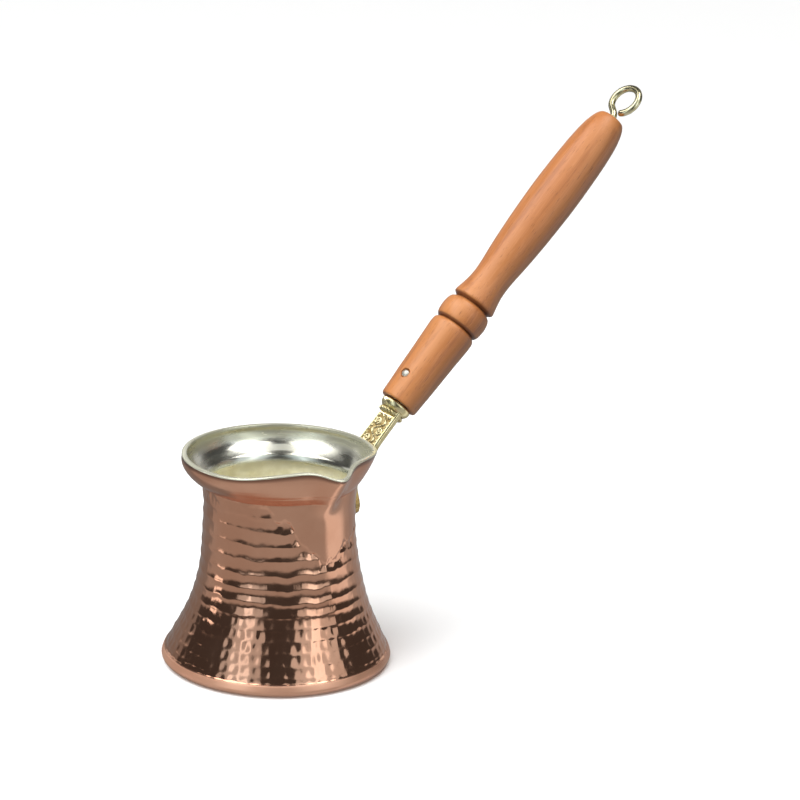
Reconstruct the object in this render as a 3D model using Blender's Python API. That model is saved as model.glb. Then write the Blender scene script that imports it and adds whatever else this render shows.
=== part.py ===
"""A Turkish coffee pot (cezve): a hammered copper pot with a tin lining and a pinched spout, a brass
bracket riveted to its neck, and a turned wooden handle with a hanging eye.

Metres, +Z up. The origin is the centre of the base, on the surface that the pot stands on. The handle
lies in the XZ plane, on the +X side.
"""
import math

import bmesh
import bpy
from mathutils import Matrix, Vector

MM = 0.001
GAP = 0.3 * MM

# Copper body, outer surface
NECK_RADIUS = 27.4 * MM
FLARE_WIDTH = 15.45 * MM
FLARE_HEIGHT = 22.1 * MM
FLARE_POWER = 1.45
FOOT_ROUND_WIDTH = 2.6 * MM
FOOT_ROUND_HEIGHT = 2.3 * MM
FOOT_ROUND_STEPS = 3
BELL_HEIGHTS = [4 * MM, 6.5 * MM, 9.5 * MM, 13 * MM, 17 * MM, 22 * MM, 28 * MM, 36 * MM, 46 * MM, 58 * MM]
CREASE = Vector((27.9 * MM, 67.6 * MM))
COLLAR_LEAVES_CREASE = Vector((31.6 * MM, 69.7 * MM))
COLLAR_BULGE = Vector((36.7 * MM, 73.9 * MM))
COLLAR_TOP = Vector((35.4 * MM, 78.0 * MM))
COLLAR_STEPS = 5
COPPER_WALL = 1.2 * MM
TIN_WALL = 0.4 * MM
SEGMENTS = 52
SPOUT_CROWDING = 0.5

# Spout, pinched out of the collar
SPOUT_AZIMUTH = math.radians(-85)
SPOUT_REACH = 37.8 * MM
SPOUT_SLOPE = 0.64
SPOUT_WIDTH = math.radians(9.5)
SPOUT_DIP = 3.1 * MM
SPOUT_DIP_WIDTH = math.radians(11.5)
SHOULDER_RISE = 2.9 * MM
SHOULDER_DRAW_IN = 1.5 * MM
SHOULDER_START = math.radians(18)
SHOULDER_END = math.radians(75)
FLATTENED = 0.85
FLATTENED_START = math.radians(45)
FLATTENED_END = math.radians(100)
BLEND = 0.6 * MM

# The bell is beaten by hand, and its middle stands off the axis by this much, to one side and back
WANDER = 0.5 * MM
WANDER_AZIMUTH = math.radians(-32)
WANDER_CROSSES = 13 * MM
WANDER_HALF_WAVE = 37 * MM
WANDER_FADES = 38 * MM
WANDER_ENDS = 56 * MM

# Bracket: a leaf-shaped pad on the neck, an arm past the collar, and a tang inside the wood
PAD_THICKNESS = 2.6 * MM
ARM_THICKNESS = 2.4 * MM
PAD_HALF_WIDTHS = [(49.0 * MM, 0.8 * MM), (51.5 * MM, 4.6 * MM), (55.8 * MM, 10.0 * MM), (59.0 * MM, 8.0 * MM),
                   (62.0 * MM, 6.6 * MM)]
PAD_TOP_HEIGHT = PAD_HALF_WIDTHS[-1][0]
ARM_HALF_WIDTHS = [(0.0, 6.6 * MM), (0.2, 6.1 * MM), (1.0, 5.3 * MM)]
ARM_BEND = [(30.4 * MM, 66.2 * MM), (32.7 * MM, 68.8 * MM), (35.4 * MM, 71.6 * MM),
            (37.3 * MM, 74.5 * MM), (39.3 * MM, 77.2 * MM)]
BRACKET_STEPS_ACROSS = 6
HUG_ENDS = CREASE.y + 2 * MM
HUG_FADES_OVER = 6 * MM
TANG_START = -4.5 * MM
TANG_NARROWS = -3 * MM
TANG_HALF_WIDTH = 3.2 * MM
TANG_THICKNESS = 2.6 * MM
TANG_LENGTH = 24 * MM
COLLAR_OUTLINE = [(-5.5 * MM, 3.4 * MM), (-5.3 * MM, 4.6 * MM), (-4.7 * MM, 5.1 * MM), (-4.0 * MM, 4.7 * MM),
                  (-3.6 * MM, 4.7 * MM), (-2.7 * MM, 5.5 * MM), (-1.5 * MM, 5.9 * MM), (-0.7 * MM, 5.8 * MM),
                  (-GAP, 5.3 * MM)]

# Rivets through pad, copper and tin
RIVET_HEIGHTS = {"rivet_upper": 59.6 * MM, "rivet_lower": 53.6 * MM}
RIVET_RADIUS = 1.5 * MM
RIVET_HEAD_RADIUS = 2.6 * MM
RIVET_HEAD_HEIGHT = 1.5 * MM
RIVET_TAIL_RADIUS = 2.4 * MM
RIVET_TAIL_HEIGHT = 0.9 * MM
RIVET_DOME_STEPS = 3
TAIL_GAP = 0.42 * MM
RIVET_HOLE = (20 * MM, 40 * MM)

# Wooden handle, along its own axis from the end near the pot
HANDLE_START = Vector((50.8 * MM, 0, 89.3 * MM))
HANDLE_RISE = math.radians(46.3)
HANDLE_LENGTH = 135.4 * MM
SLEEVE_OUTLINE = [(0, 6.6 * MM), (0.8 * MM, 7.45 * MM), (11 * MM, 8.0 * MM), (23 * MM, 8.45 * MM),
                  (31 * MM, 8.85 * MM), (34.2 * MM, 8.7 * MM), (35.6 * MM, 7.9 * MM)]
BEAD_OUTLINE = [(36.6 * MM, 8.7 * MM), (38.6 * MM, 9.15 * MM), (41 * MM, 9.25 * MM), (43.4 * MM, 8.9 * MM),
                (45.2 * MM, 8.0 * MM), (45.9 * MM, 7.3 * MM)]
GRIP_OUTLINE = [(47.2 * MM, 8.3 * MM), (48.4 * MM, 8.35 * MM), (51.5 * MM, 7.7 * MM), (54.8 * MM, 7.15 * MM),
                (57.8 * MM, 7.0 * MM), (62 * MM, 7.15 * MM), (67 * MM, 7.65 * MM), (76 * MM, 8.3 * MM),
                (88 * MM, 8.9 * MM), (99 * MM, 9.1 * MM), (110 * MM, 8.95 * MM), (118.5 * MM, 8.65 * MM),
                (124 * MM, 8.2 * MM), (128.5 * MM, 7.6 * MM), (131.5 * MM, 6.8 * MM), (133.8 * MM, 6.0 * MM),
                (HANDLE_LENGTH, 4.9 * MM)]
TANG_BORE_RADIUS = 3.8 * MM
TANG_BORE_DEPTH = 26 * MM
EYE_BORE_RADIUS = 1.6 * MM
EYE_BORE_DEPTH = 15 * MM
WOOD_SEGMENTS = 28

# Pin through wood and tang
PIN_RADIUS = 1.6 * MM
PIN_PLACE = 9.8 * MM
PIN_HALF_LENGTH = 7.8 * MM
PIN_ROLL = math.radians(15)
PIN_CHAMFER = 0.3 * MM
PIN_HOLE_HALF_LENGTH = 12 * MM

# Screw eye in the upper end of the wood
WIRE_RADIUS = 1.3 * MM
EYE_RADIUS = 5.7 * MM
EYE_CENTRE = 8.8 * MM
EYE_ROLL = math.radians(98)
EYE_LEAVES_NECK = math.radians(-58)
EYE_CLOSES_AT = math.radians(20)
EYE_STEPS = 30
EYE_BEND_START = 0.6 * MM
EYE_BEND_REACH = 2.2 * MM
EYE_BEND_STEPS = 5
SHANK_TIP = 0.35
SHANK_DEPTH = 14 * MM
SHANK_TAPER = 4 * MM

ROUND_SEGMENTS = 20
SHARP_ANGLE = math.radians(32)

COPPER = ("copper", (0.72, 0.36, 0.22), 0.22, 1.0)
TIN = ("tin", (0.74, 0.72, 0.66), 0.25, 1.0)
BRASS = ("brass", (0.80, 0.70, 0.40), 0.28, 1.0)
RIVET_COPPER = ("rivet_copper", (0.66, 0.34, 0.22), 0.35, 1.0)
PIN_METAL = ("pin_metal", (0.86, 0.80, 0.66), 0.3, 1.0)
WIRE = ("brassed_wire", (0.78, 0.74, 0.58), 0.25, 1.0)
WOOD = ("stained_wood", (0.50, 0.20, 0.07), 0.42, 0.0)


# ---------------------------------------------------------------- shared helpers

def clear_scene():
    for obj in list(bpy.data.objects):
        bpy.data.objects.remove(obj, do_unlink=True)


def make_material(name, color, roughness, metallic):
    material = bpy.data.materials.new(name)
    material.use_nodes = True
    shader = material.node_tree.nodes["Principled BSDF"]
    shader.inputs["Base Color"].default_value = (*color, 1.0)
    shader.inputs["Roughness"].default_value = roughness
    shader.inputs["Metallic"].default_value = metallic
    return material


def add_object(name, bm, finish, place=None):
    """Turn a bmesh into an object with its own material, shaded smooth between soft edges."""
    bmesh.ops.recalc_face_normals(bm, faces=bm.faces)
    mesh = bpy.data.meshes.new(name)
    bm.to_mesh(mesh)
    bm.free()
    mesh.shade_smooth()
    mesh.set_sharp_from_angle(angle=SHARP_ANGLE)
    obj = bpy.data.objects.new(name, mesh)
    bpy.context.scene.collection.objects.link(obj)
    if finish is not None:
        obj.data.materials.append(make_material(name + "_" + finish[0], *finish[1:]))
    if place is not None:
        obj.matrix_world = place
    return obj


def hide_tool(obj):
    """Mark an object as a modelling tool, which isn't a piece of the pot."""
    obj.hide_render = True
    obj.display_type = "WIRE"
    return obj


def boolean(obj, tool, operation):
    modifier = obj.modifiers.new(tool.name, "BOOLEAN")
    modifier.operation = operation
    modifier.object = tool


def skin_rings(rings):
    """One closed skin through rings that all have the same number of points, capped at both ends.

    Each diagonal climbs the same way round, so that two skins a small gap apart stay apart.
    """
    bm = bmesh.new()
    loops = [[bm.verts.new(point) for point in ring] for ring in rings]
    for near, far in zip(loops, loops[1:]):
        for i, vertex in enumerate(near):
            j = (i + 1) % len(near)
            if vertex.co.z <= far[i].co.z:
                corners = ((vertex, near[j], far[j]), (vertex, far[j], far[i]))
            else:
                corners = ((vertex, near[j], far[i]), (near[j], far[j], far[i]))
            for triangle in corners:
                bm.faces.new(triangle)
    bm.faces.new(loops[0])
    bm.faces.new(loops[-1])
    return bm


def turn(outline, segments):
    """Turn an outline of (height, radius) pairs about Z, and cap it at both ends."""
    angles = [math.tau * i / segments for i in range(segments)]
    return skin_rings([[(radius * math.cos(a), radius * math.sin(a), height) for a in angles]
                       for height, radius in outline])


def smooth_path(points, steps):
    """A Catmull-Rom curve through the points, with the given number of steps between two of them."""
    padded = [points[0] * 2 - points[1], *points, points[-1] * 2 - points[-2]]
    path = []
    for a, b, c, d in zip(padded, padded[1:], padded[2:], padded[3:]):
        for k in range(steps):
            t = k / steps
            path.append(0.5 * (2 * b + (c - a) * t + (2 * a - 5 * b + 4 * c - d) * t ** 2
                               + (3 * b - a - 3 * c + d) * t ** 3))
    return path + [points[-1]]


def interpolate(value, table):
    """Read a value from a table of (place, amount) pairs, straight between them."""
    for (low, at_low), (high, at_high) in zip(table, table[1:]):
        if value <= high:
            share = max(0.0, (value - low) / (high - low))
            return at_low + (at_high - at_low) * share
    return table[-1][1]


# ---------------------------------------------------------------- copper body and tin lining

def bell_radius(height):
    return NECK_RADIUS + FLARE_WIDTH * math.exp(-(height / FLARE_HEIGHT) ** FLARE_POWER)


def bezier(a, b, c, d, t):
    return a * (1 - t) ** 3 + b * 3 * t * (1 - t) ** 2 + c * 3 * t ** 2 * (1 - t) + d * t ** 3


def body_outline():
    """Outer outline from the edge of the flat base up to the lip, as (radius, height)."""
    flat_radius = bell_radius(FOOT_ROUND_HEIGHT) - FOOT_ROUND_WIDTH
    outline = []
    for i in range(FOOT_ROUND_STEPS + 1):
        angle = math.pi / 2 * i / FOOT_ROUND_STEPS
        outline.append(Vector((flat_radius + FOOT_ROUND_WIDTH * math.sin(angle),
                               FOOT_ROUND_HEIGHT * (1 - math.cos(angle)))))
    outline += [Vector((bell_radius(height), height)) for height in BELL_HEIGHTS]
    for i in range(COLLAR_STEPS + 1):
        outline.append(bezier(CREASE, COLLAR_LEAVES_CREASE, COLLAR_BULGE, COLLAR_TOP, i / COLLAR_STEPS))
    return outline


def outline_normals(outline):
    """Mitred outward normals, so that an outline moved along them keeps its wall thickness."""
    sides = [(b - a).normalized() for a, b in zip(outline, outline[1:])]
    sides = [Vector((side.y, -side.x)) for side in sides]
    normals = [Vector((0, -1))]
    for before, after in zip(sides, sides[1:]):
        middle = (before + after).normalized()
        normals.append(middle / middle.dot(after))
    return normals + [Vector((1, 0))]


def wall_azimuths():
    """Azimuths round the pot, closer together near the spout."""
    turns = [i / SEGMENTS for i in range(SEGMENTS)]
    return [SPOUT_AZIMUTH + math.tau * u - SPOUT_CROWDING * math.sin(math.tau * u) for u in turns]


def spout_shift(point, azimuth):
    """How far the spout moves a point of the outer outline: outwards, and upwards."""
    off = abs(math.remainder(azimuth - SPOUT_AZIMUTH, math.tau))
    share = min(1.0, max(0.0, (SHOULDER_END - off) / (SHOULDER_END - SHOULDER_START)))
    shoulder = math.sin(share * math.pi / 2) ** 2
    up_collar = max(0.0, (point.y - CREASE.y) / (COLLAR_TOP.y - CREASE.y))
    straight = CREASE.x + (COLLAR_TOP.x - CREASE.x) * up_collar
    share = min(1.0, max(0.0, (FLATTENED_END - off) / (FLATTENED_END - FLATTENED_START)))
    flattened = FLATTENED * math.sin(share * math.pi / 2) ** 2 if up_collar > 0 else 0
    draw_in = SHOULDER_DRAW_IN * shoulder * up_collar ** 2 + flattened * max(0.0, point.x - straight)
    channel = math.exp(-(off / SPOUT_WIDTH) ** 2)
    run = SPOUT_REACH - (COLLAR_TOP.y - point.y) * SPOUT_SLOPE - (point.x - draw_in)
    bulge = channel * (run + math.hypot(run, BLEND)) / 2
    dip = SPOUT_DIP * math.exp(-(off / SPOUT_DIP_WIDTH) ** 2)
    return bulge - draw_in, (SHOULDER_RISE * shoulder - dip) * up_collar ** 2


def wander(height):
    """How far the wall stands off the axis at a height."""
    share = min(1.0, max(0.0, (WANDER_ENDS - height) / (WANDER_ENDS - WANDER_FADES)))
    fade = share ** 2 * (3 - 2 * share)
    return WANDER * fade * math.sin(math.pi * (height - WANDER_CROSSES) / WANDER_HALF_WAVE)


def wall_ring(point, normal, inset, lift):
    """One ring of the pot's wall: a point of the outline, set in by a depth and lifted by a height."""
    ring = []
    aside = wander(point.y)
    aside_x, aside_y = aside * math.cos(WANDER_AZIMUTH), aside * math.sin(WANDER_AZIMUTH)
    for azimuth in wall_azimuths():
        outwards, upwards = spout_shift(point, azimuth)
        radius = point.x - normal.x * inset + outwards
        height = point.y - normal.y * inset + upwards + lift
        ring.append((radius * math.cos(azimuth) + aside_x, radius * math.sin(azimuth) + aside_y, height))
    return ring


def make_pot_body():
    outline = body_outline()
    places = list(zip(outline, outline_normals(outline)))
    rings = [wall_ring(point, normal, 0, 0) for point, normal in places]
    rings += [wall_ring(point, normal, COPPER_WALL, 0) for point, normal in reversed(places)]
    return add_object("pot_body", skin_rings(rings), COPPER)


def make_tin_lining():
    """The tin skin on the inside, folded outwards over the lip."""
    outline = body_outline()
    places = list(zip(outline, outline_normals(outline)))
    back = COPPER_WALL + GAP
    face = back + TIN_WALL
    lip_point, lip_normal = places[-1]
    rings = [wall_ring(point, normal, back, 0) for point, normal in places]
    rings.append(wall_ring(lip_point, lip_normal, back, GAP))
    rings.append(wall_ring(lip_point, lip_normal, 0, GAP))
    rings.append(wall_ring(lip_point, lip_normal, 0, GAP + TIN_WALL * 0.6))
    rings.append(wall_ring(lip_point, lip_normal, face / 2, GAP + TIN_WALL))
    rings.append(wall_ring(lip_point, lip_normal, face, GAP))
    rings += [wall_ring(point, normal, face, 0) for point, normal in reversed(places[:-1])]
    return add_object("tin_lining", skin_rings(rings), TIN)


# ---------------------------------------------------------------- handle frame

def handle_frame(distance, roll=0.0):
    """Z runs along the handle, and X starts at its upper side and is rolled about the handle."""
    along = Vector((math.cos(HANDLE_RISE), 0, math.sin(HANDLE_RISE)))
    upper = Vector((-math.sin(HANDLE_RISE), 0, math.cos(HANDLE_RISE)))
    frame = Matrix((upper, along.cross(upper), along)).transposed().to_4x4()
    frame.translation = HANDLE_START + along * distance
    return frame @ Matrix.Rotation(roll, 4, "Z")


# ---------------------------------------------------------------- brass bracket

def pad_centre(height):
    """Distance from the axis to the middle of the pad, which follows the neck."""
    return bell_radius(height) + GAP + PAD_THICKNESS / 2


def bracket_path():
    """Middle line of the bracket, from the pad's tip to the end of the tang."""
    frame = handle_frame(0)
    pad = [Vector((pad_centre(height), 0, height)) for height, _ in PAD_HALF_WIDTHS]
    arm = [Vector((x, 0, z)) for x, z in ARM_BEND]
    tang = [frame @ Vector((0, 0, distance)) for distance in (TANG_START, TANG_NARROWS, TANG_LENGTH)]
    bend = smooth_path([pad[-1], *arm, tang[0]], 2)
    return pad[:-1] + bend + tang[1:]


def bracket_half_width(point, along_arm):
    if point.z < PAD_TOP_HEIGHT:
        return interpolate(point.z, PAD_HALF_WIDTHS)
    return interpolate(along_arm, ARM_HALF_WIDTHS)


def bracket_ring(point, across, half_width, thickness, hug):
    """One cross-section of the bracket. With hug at 1 it is curved to the neck, and with 0 it is flat."""
    curve_radius = pad_centre(PAD_TOP_HEIGHT)
    outer, inner = [], []
    for step in range(BRACKET_STEPS_ACROSS + 1):
        y = (2 * step / BRACKET_STEPS_ACROSS - 1) * half_width
        sag = hug * (curve_radius - math.sqrt(curve_radius ** 2 - y ** 2))
        middle = point + Vector((0, y, 0)) - across * sag
        outer.append(middle + across * thickness / 2)
        inner.append(middle - across * thickness / 2)
    return outer + inner[::-1]


def make_bracket(tools):
    path = bracket_path()
    rings = []
    arm_start = HANDLE_START - Vector((ARM_BEND[0][0], 0, ARM_BEND[0][1]))
    for i, point in enumerate(path):
        before, after = path[max(i - 1, 0)], path[min(i + 1, len(path) - 1)]
        along = (after - before).normalized()
        across = Vector((along.z, 0, -along.x))
        left = (HANDLE_START - point).length / arm_start.length
        hug = min(1.0, max(0.0, (HUG_ENDS - point.z) / HUG_FADES_OVER))
        half_width = bracket_half_width(point, 1 - left)
        thickness = PAD_THICKNESS if hug == 1 else ARM_THICKNESS
        if i >= len(path) - 2:
            half_width, thickness = TANG_HALF_WIDTH, TANG_THICKNESS
        rings.append(bracket_ring(point, across, half_width, thickness, hug))
    bracket = add_object("handle_bracket", skin_rings(rings), BRASS)
    boolean(bracket, tools["shoulder"], "UNION")
    boolean(bracket, tools["pin_hole"], "DIFFERENCE")
    return bracket


# ---------------------------------------------------------------- rivets and pin

def rivet_frame(height):
    """Z points away from the pot, starting on its axis at the rivet's height."""
    return Matrix.Translation((0, 0, height)) @ Matrix.Rotation(math.pi / 2, 4, "Y")


def dome(seat, height, radius):
    """Outline of a low dome from its middle to its rim, as (distance, radius)."""
    angles = [math.pi / 2 * (1 - (i + 0.5) / (RIVET_DOME_STEPS + 0.5)) for i in range(RIVET_DOME_STEPS + 1)]
    return [(seat + height * math.sin(angle), radius * math.cos(angle)) for angle in angles]


def make_rivets():
    for name, height in RIVET_HEIGHTS.items():
        head_seat = pad_centre(height) + PAD_THICKNESS / 2 + GAP
        tail_seat = bell_radius(height) - COPPER_WALL - GAP - TIN_WALL - TAIL_GAP
        outline = dome(tail_seat, -RIVET_TAIL_HEIGHT, RIVET_TAIL_RADIUS)
        outline += [(tail_seat, RIVET_RADIUS), (head_seat, RIVET_RADIUS)]
        outline += dome(head_seat, RIVET_HEAD_HEIGHT, RIVET_HEAD_RADIUS)[::-1]
        add_object(name, turn(outline, ROUND_SEGMENTS), RIVET_COPPER, rivet_frame(height))


def pin_frame():
    """Z runs along the pin, from its middle on the handle's axis."""
    return handle_frame(PIN_PLACE, PIN_ROLL) @ Matrix.Rotation(math.pi / 2, 4, "Y")


def make_pin():
    end, shoulder = PIN_HALF_LENGTH, PIN_HALF_LENGTH - PIN_CHAMFER
    outline = [(-end, PIN_RADIUS - PIN_CHAMFER), (-shoulder, PIN_RADIUS), (shoulder, PIN_RADIUS),
               (end, PIN_RADIUS - PIN_CHAMFER)]
    return add_object("handle_pin", turn(outline, ROUND_SEGMENTS), PIN_METAL, pin_frame())


# ---------------------------------------------------------------- wooden handle

def make_wooden_handle(tools):
    """One turned body whose outline runs through both blind bores as well."""
    outline = [(TANG_BORE_DEPTH, TANG_BORE_RADIUS), (0, TANG_BORE_RADIUS)]
    outline += SLEEVE_OUTLINE + BEAD_OUTLINE + GRIP_OUTLINE
    outline += [(HANDLE_LENGTH, EYE_BORE_RADIUS), (HANDLE_LENGTH - EYE_BORE_DEPTH, EYE_BORE_RADIUS)]
    handle = add_object("wooden_handle", turn(outline, WOOD_SEGMENTS), WOOD, handle_frame(0))
    boolean(handle, tools["pin_hole"], "DIFFERENCE")
    return handle


# ---------------------------------------------------------------- screw eye

def eye_point(angle):
    """A point of the loop, with the angle counted from the side nearest to the wood."""
    return Vector((EYE_RADIUS * math.sin(angle), 0, EYE_CENTRE - EYE_RADIUS * math.cos(angle)))


def make_screw_eye():
    """Wire from the shank's tip up the handle's axis, then bent into a loop that closes beside the neck."""
    leave = eye_point(EYE_LEAVES_NECK)
    leave_tangent = Vector((-math.cos(EYE_LEAVES_NECK), 0, -math.sin(EYE_LEAVES_NECK)))
    neck = Vector((0, 0, EYE_BEND_START))
    out_of_neck = neck + Vector((0, 0, EYE_BEND_REACH))
    into_loop = leave - leave_tangent * EYE_BEND_REACH
    path = [(Vector((0, 0, -SHANK_DEPTH)), SHANK_TIP), (Vector((0, 0, -SHANK_DEPTH + SHANK_TAPER)), 1.0)]
    for i in range(EYE_BEND_STEPS):
        path.append((bezier(neck, out_of_neck, into_loop, leave, i / EYE_BEND_STEPS), 1.0))
    sweep = math.tau + EYE_LEAVES_NECK - EYE_CLOSES_AT
    for i in range(EYE_STEPS + 1):
        path.append((eye_point(EYE_LEAVES_NECK - sweep * i / EYE_STEPS), 1.0))
    curve = bpy.data.curves.new("screw_eye", "CURVE")
    curve.dimensions = "3D"
    curve.bevel_depth = WIRE_RADIUS
    curve.bevel_resolution = 3
    curve.use_fill_caps = True
    spline = curve.splines.new("POLY")
    spline.points.add(len(path) - 1)
    for place, (point, radius) in zip(spline.points, path):
        place.co = (*point, 1.0)
        place.radius = radius
    eye = bpy.data.objects.new("screw_eye", curve)
    bpy.context.scene.collection.objects.link(eye)
    eye.data.materials.append(make_material("screw_eye_" + WIRE[0], *WIRE[1:]))
    eye.matrix_world = handle_frame(HANDLE_LENGTH, EYE_ROLL)
    return eye


# ---------------------------------------------------------------- assembly

def make_tools():
    """The bracket's turned shoulder, and the cutters for the pin's hole and the rivets' holes."""
    pin_outline = [(end, PIN_RADIUS + GAP) for end in (-PIN_HOLE_HALF_LENGTH, PIN_HOLE_HALF_LENGTH)]
    rivet_outline = [(end, RIVET_RADIUS + GAP) for end in RIVET_HOLE]
    tools = {
        "shoulder": add_object("tool_shoulder", turn(COLLAR_OUTLINE, ROUND_SEGMENTS), None, handle_frame(0)),
        "pin_hole": add_object("tool_pin_hole", turn(pin_outline, ROUND_SEGMENTS), None, pin_frame()),
    }
    for name, height in RIVET_HEIGHTS.items():
        tools[name] = add_object("tool_" + name, turn(rivet_outline, ROUND_SEGMENTS), None, rivet_frame(height))
    for tool in tools.values():
        hide_tool(tool)
    return tools


def main():
    clear_scene()
    tools = make_tools()
    riveted = [make_pot_body(), make_tin_lining(), make_bracket(tools)]
    for piece in riveted:
        for name in RIVET_HEIGHTS:
            boolean(piece, tools[name], "DIFFERENCE")
    make_rivets()
    make_wooden_handle(tools)
    make_pin()
    make_screw_eye()


main()
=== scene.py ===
"""Looks of the Turkish coffee pot: hammered copper, tinned inside, cast brass, turned wood, brassed wire."""

import math

import bpy
import numpy as np
from mathutils import Matrix, Vector


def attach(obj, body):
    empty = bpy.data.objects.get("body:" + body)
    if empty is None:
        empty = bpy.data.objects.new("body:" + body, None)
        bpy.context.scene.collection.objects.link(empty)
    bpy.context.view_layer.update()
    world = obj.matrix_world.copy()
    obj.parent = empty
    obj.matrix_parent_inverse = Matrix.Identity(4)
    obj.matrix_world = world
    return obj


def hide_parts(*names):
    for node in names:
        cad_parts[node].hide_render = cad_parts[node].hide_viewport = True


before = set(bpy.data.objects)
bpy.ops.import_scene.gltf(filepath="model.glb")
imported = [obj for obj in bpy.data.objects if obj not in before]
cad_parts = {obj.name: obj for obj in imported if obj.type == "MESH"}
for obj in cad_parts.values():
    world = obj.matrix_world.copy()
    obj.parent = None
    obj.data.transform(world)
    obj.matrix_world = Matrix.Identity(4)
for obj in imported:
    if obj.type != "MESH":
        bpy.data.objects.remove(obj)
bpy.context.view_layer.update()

MM = 0.001
BODY = "root"

# ------------ shape of the pot, as in the frame
NECK_RADIUS = 27.4 * MM
FLARE_WIDTH = 15.45 * MM
FLARE_HEIGHT = 22.1 * MM
FLARE_POWER = 1.45
FOOT_ROUND_WIDTH = 2.6 * MM
FOOT_ROUND_HEIGHT = 2.3 * MM
CREASE = np.array((27.9, 67.6)) * MM
COLLAR_LEAVES_CREASE = np.array((31.6, 69.7)) * MM
COLLAR_BULGE = np.array((36.7, 73.9)) * MM
COLLAR_TOP = np.array((35.4, 78.0)) * MM
COPPER_WALL = 1.2 * MM
INSIDE_DEPTH = 1.9 * MM
LIP_LIFT = 0.7 * MM
SPOUT_AZIMUTH = math.radians(-85)
SPOUT_REACH = 37.8 * MM
SPOUT_SLOPE = 0.64
SPOUT_WIDTH = math.radians(9.5)
SPOUT_DIP = 3.1 * MM
SPOUT_DIP_WIDTH = math.radians(11.5)
SHOULDER_RISE = 2.9 * MM
SHOULDER_DRAW_IN = 1.5 * MM
SHOULDER_START = math.radians(18)
SHOULDER_END = math.radians(75)
FLATTENED = 0.85
FLATTENED_START = math.radians(45)
FLATTENED_END = math.radians(100)
SPOUT_BLEND = 1.4 * MM
WANDER = 0.5 * MM
WANDER_AZIMUTH = math.radians(-32)
WANDER_CROSSES = 13 * MM
WANDER_HALF_WAVE = 37 * MM
WANDER_FADES = 38 * MM
WANDER_ENDS = 56 * MM

# Hammering
BAND_HEIGHT = 4.7 * MM
BAND_STEP = 0.28 * MM
FOOT_LEAN = 0.16 * MM
FIRST_RIDGE = 7.0 * MM
ROW_PITCH = 3.5 * MM
ROW_PITCH_GROWTH = 0.095 * MM
ROW_DEPTH = 0.041
MARKS_ROUND = 60
MARK_DEPTH = 0.15 * MM
HAMMER_TOP = 66 * MM
HAMMER_TOP_UNDER_SPOUT = 20 * MM
HAMMER_TOP_SPREADS = (math.radians(27), math.radians(60))
BAND_EDGE = (BAND_HEIGHT - 0.1 * MM, BAND_HEIGHT + 0.45 * MM)
BAND_STEP_FADES = (12 * MM, 34 * MM)
MARKS_START = (BAND_HEIGHT + 0.1 * MM, BAND_HEIGHT + 1.0 * MM)
MARKS_STOP_UNDER_CREASE = 0.2 * MM
SQUARES_FADE = (12 * MM, 36 * MM)
NEAR_TOP = (9 * MM, 1 * MM)
ROWS_DRAWN = 64
BAND_SHIFT = 0.3
MARK_STRENGTHS = (0.55, 1.3)
ROW_DEPTH_VARIES = 0.25
SQUARES_SHARES = (0.12, 0.75, 0.45)  # everywhere, near the foot, near the top
MARK_TILT = 0.16 * MM
MARK_TILT_BELOW_TOP = 0.4
LEAST_DEPTH = 0.03 * MM
EDGE_CLIFF = (-1.1 * MM, 0.8 * MM)
EDGE_DEPTH = 0.50 * MM
EDGE_FADES = 2.6 * MM
EDGE_DEPTH_BESIDE_SPOUT = 0.75 * MM
EDGE_FADES_BESIDE_SPOUT = 4.6 * MM
EDGE_STARTS = (math.radians(-58), math.radians(-46))  # from the spout, and positive towards the handle
EDGE_ENDS = (math.radians(52), math.radians(40))
BESIDE_SPOUT_STARTS = (math.radians(2), math.radians(14))
BESIDE_SPOUT_ENDS = (math.radians(48), math.radians(34))

# Noises on the pot's wall, each as (size, cells round the pot, height of a cell, seed)
ROW_WOBBLE = ((0.13, 34, 8 * MM, 1), (0.05, 90, 5 * MM, 6))
COLUMN_WOBBLE = ((0.14, 30, 12 * MM, 2),)
EDGE_JAGS = ((2.4 * MM, 44, math.inf, 5), (1.3 * MM, 110, 2 * MM, 7))
UNEVEN_WALL = ((0.06 * MM, 26, 7 * MM, 3), (0.03 * MM, 70, 2.6 * MM, 4))

# Collar, foot and lip
SCRIBED_LINES = (70.6 * MM, 72.4 * MM, 76.2 * MM)
SCRIBED_DEPTH = 0.05 * MM
SCRIBED_WIDTH = 0.12 * MM
UNDER_LIP = 77.0 * MM
UNDER_LIP_DEPTH = 0.14 * MM
UNDER_LIP_WIDTH = 0.45 * MM
FACET_ALLOWANCE = 0.17 * MM
FACET_ALLOWANCE_FADES = (6 * MM, 12 * MM)
FOOT_LEANS = (4.6 * MM, 0.8 * MM)
UNDERSIDE_RADII = (1 * MM, 12 * MM, 26 * MM, 36 * MM)
COPPER_FLOOR_RADII = (30 * MM, 15 * MM, 1 * MM)
TIN_BACK_RADII = (1 * MM, 20 * MM, 34 * MM)
TIN_FLOOR_RADII = (34 * MM, 24 * MM, 12 * MM, 1 * MM)
PAINTED_SHADE_UNDER_LIP = (0.3, 0.8, 1.0, 1.0)  # painted shade under the lip, as shares of the topmost rings of the copper's outside
LIP_TURNS = np.linspace(0, math.pi, 7)
LIP_SHARES = (1, 1, 1, 1, 0.9, 0.6, 0.3, 0.1, 0)  # of the rings from under the lip to its inner side
HAIR_GAP = 0.01 * MM

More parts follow.
